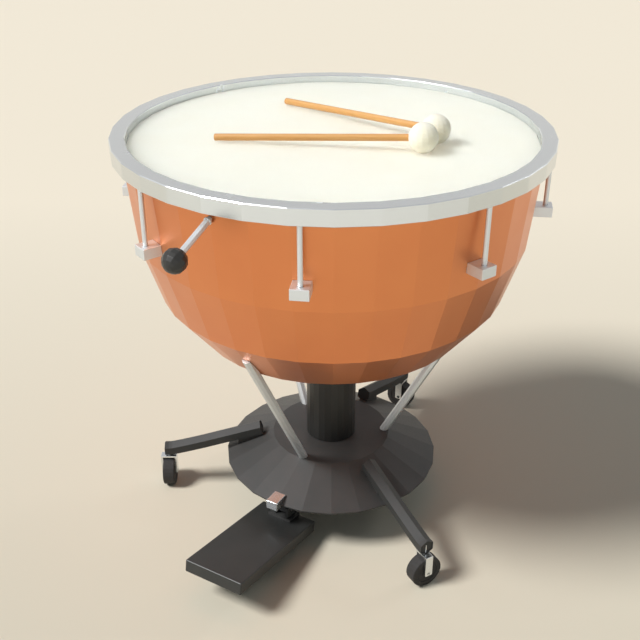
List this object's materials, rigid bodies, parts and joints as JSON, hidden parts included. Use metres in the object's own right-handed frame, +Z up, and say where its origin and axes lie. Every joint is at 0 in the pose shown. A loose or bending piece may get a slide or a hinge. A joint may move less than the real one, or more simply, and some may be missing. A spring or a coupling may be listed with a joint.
{
  "type": "pedal kettledrum",
  "caption": "Copper kettledrum on a wheeled pedal base, with a pedal-drawn head, chromed hoop and rods, tuning handle and felt mallets lying on the head.",
  "frame": {"origin": "on the floor, under the middle of the drum's outline seen from above", "axes": "+Z up, -Y towards the player, where the pedal and the tuning handle are, +X to the player's right"},
  "size_m": [0.79, 0.8794, 0.8353],
  "materials": {
    "copper": "satin copper",
    "cast_aluminium": "machined",
    "head_film": "milky polyester film",
    "chrome": "chrome plate",
    "steel": "bare steel",
    "bare_iron": "as cast",
    "black_paint": "satin black paint",
    "black_enamel": "matte black enamel",
    "wheel_rubber": "moulded rubber",
    "black_plastic": "turned and polished",
    "maple": "oiled",
    "felt": "wool felt"
  },
  "bodies": {
    "root": {"kettle_bowl": "copper", "bearing_ring": "cast_aluminium", "drum_head": "head_film", "lug_1": "chrome", "lug_2": "chrome", "lug_3": "chrome", "lug_4": "chrome", "lug_5": "chrome", "lug_6": "chrome", "lug_7": "chrome", "lug_8": "chrome", "balance_spring": "steel", "column": "black_paint", "base_casting": "black_paint", "strut_1": "chrome", "strut_2": "chrome", "strut_3": "chrome", "leg_1": "black_paint", "leg_2": "black_paint", "leg_3": "black_paint", "pedal_hinge_pin": "steel", "pedal_hanger": "bare_iron", "clamp_block": "chrome", "rocker_pin": "steel"},
    "tension_frame": {"counter_hoop": "chrome", "flesh_hoop": "cast_aluminium", "pull_rod_1": "steel", "pull_rod_2": "steel", "pull_rod_3": "steel", "pull_rod_4": "steel", "pull_rod_5": "steel", "pull_rod_6": "steel", "pull_rod_7": "steel", "pull_rod_8": "steel", "spider": "bare_iron", "main_pull_rod": "steel"},
    "pedal": {"pedal_plate": "black_enamel", "pedal_lever": "black_paint"},
    "link": {"pedal_link": "steel"},
    "rocker": {"rocker": "bare_iron"},
    "tuner": {"tuner_handle": "chrome", "tuner_knob": "black_plastic"},
    "rod_1": {"tension_rod_1": "chrome"},
    "rod_2": {"tension_rod_2": "chrome"},
    "rod_3": {"tension_rod_3": "chrome"},
    "rod_4": {"tension_rod_4": "chrome"},
    "rod_5": {"tension_rod_5": "chrome"},
    "rod_6": {"tension_rod_6": "chrome"},
    "rod_7": {"tension_rod_7": "chrome"},
    "rod_8": {"tension_rod_8": "chrome"},
    "fork_1": {"caster_fork_1": "chrome"},
    "wheel_1": {"caster_wheel_1": "wheel_rubber"},
    "fork_2": {"caster_fork_2": "chrome"},
    "wheel_2": {"caster_wheel_2": "wheel_rubber"},
    "fork_3": {"caster_fork_3": "chrome"},
    "wheel_3": {"caster_wheel_3": "wheel_rubber"},
    "mallet_1": {"mallet_stick_1": "maple", "mallet_head_1": "felt"},
    "mallet_2": {"mallet_stick_2": "maple", "mallet_head_2": "felt"}
  },
  "joints": [
    {"name": "pedal_rock", "type": "hinge", "parent": "root", "child": "pedal", "pos_m": [0, -0.1453, 0.066], "axis": [1, 0, 0], "range_deg": [-6, 13]},
    {"name": "head_tension", "type": "slide", "parent": "root", "child": "tension_frame", "axis": [0, 0, -1], "range_m": [-0.0016, 0.0035], "deforming": ["balance_spring"]},
    {"name": "rocker_turn", "type": "hinge", "parent": "root", "child": "rocker", "pos_m": [0, 0.0187, 0.1], "axis": [1, 0, 0], "range_deg": [-7.6, 3.6]},
    {"name": "link_swing", "type": "hinge", "parent": "pedal", "child": "link", "pos_m": [0, -0.0853, 0.066], "axis": [1, 0, 0], "range_deg": [-13.1, 6.1]},
    {"name": "tuner_turn", "type": "hinge", "parent": "root", "child": "tuner", "pos_m": [0, -0.3313, 0.7526], "axis": [0, -0.9326, -0.3608], "range_deg": [-180, 180]},
    {"name": "rod_1_turn", "type": "hinge", "parent": "tension_frame", "child": "rod_1", "pos_m": [0.1481, -0.31284, 0.718], "axis": [0, 0, 1], "range_deg": [-180, 180]},
    {"name": "rod_2_turn", "type": "hinge", "parent": "tension_frame", "child": "rod_2", "pos_m": [0.35754, -0.1034, 0.718], "axis": [0, 0, 1], "range_deg": [-180, 180]},
    {"name": "rod_3_turn", "type": "hinge", "parent": "tension_frame", "child": "rod_3", "pos_m": [0.35754, 0.1928, 0.718], "axis": [0, 0, 1], "range_deg": [-180, 180]},
    {"name": "rod_4_turn", "type": "hinge", "parent": "tension_frame", "child": "rod_4", "pos_m": [0.1481, 0.40224, 0.718], "axis": [0, 0, 1], "range_deg": [-180, 180]},
    {"name": "rod_5_turn", "type": "hinge", "parent": "tension_frame", "child": "rod_5", "pos_m": [-0.1481, 0.40224, 0.718], "axis": [0, 0, 1], "range_deg": [-180, 180]},
    {"name": "rod_6_turn", "type": "hinge", "parent": "tension_frame", "child": "rod_6", "pos_m": [-0.35754, 0.1928, 0.718], "axis": [0, 0, 1], "range_deg": [-180, 180]},
    {"name": "rod_7_turn", "type": "hinge", "parent": "tension_frame", "child": "rod_7", "pos_m": [-0.35754, -0.1034, 0.718], "axis": [0, 0, 1], "range_deg": [-180, 180]},
    {"name": "rod_8_turn", "type": "hinge", "parent": "tension_frame", "child": "rod_8", "pos_m": [-0.1481, -0.31284, 0.718], "axis": [0, 0, 1], "range_deg": [-180, 180]},
    {"name": "fork_1_swivel", "type": "hinge", "parent": "root", "child": "fork_1", "pos_m": [0.30224, -0.1298, 0.0717], "axis": [0, 0, 1], "continuous": true},
    {"name": "wheel_1_spin", "type": "hinge", "parent": "fork_1", "child": "wheel_1", "pos_m": [0.30224, -0.1298, 0.03173], "axis": [0.866, -0.5, 0], "continuous": true},
    {"name": "fork_2_swivel", "type": "hinge", "parent": "root", "child": "fork_2", "pos_m": [0, 0.3937, 0.0717], "axis": [0, 0, 1], "continuous": true},
    {"name": "wheel_2_spin", "type": "hinge", "parent": "fork_2", "child": "wheel_2", "pos_m": [0, 0.3937, 0.03173], "axis": [0, 1, 0], "continuous": true},
    {"name": "fork_3_swivel", "type": "hinge", "parent": "root", "child": "fork_3", "pos_m": [-0.30224, -0.1298, 0.0717], "axis": [0, 0, 1], "continuous": true},
    {"name": "wheel_3_spin", "type": "hinge", "parent": "fork_3", "child": "wheel_3", "pos_m": [-0.30224, -0.1298, 0.03173], "axis": [-0.866, -0.5, 0], "continuous": true},
    {"name": "mallet_1_lift", "type": "slide", "parent": "root", "child": "mallet_1", "axis": [0, 0, 1], "range_m": [0, 0.15]},
    {"name": "mallet_2_lift", "type": "slide", "parent": "root", "child": "mallet_2", "axis": [0, 0, 1], "range_m": [0, 0.15]}
  ],
  "couplings": [
    {"joint": "head_tension", "follows": "pedal_rock", "m_per_rad": 0.015},
    {"joint": "rocker_turn", "follows": "pedal_rock", "ratio": -0.57692},
    {"joint": "link_swing", "follows": "pedal_rock", "ratio": -1}
  ]
}
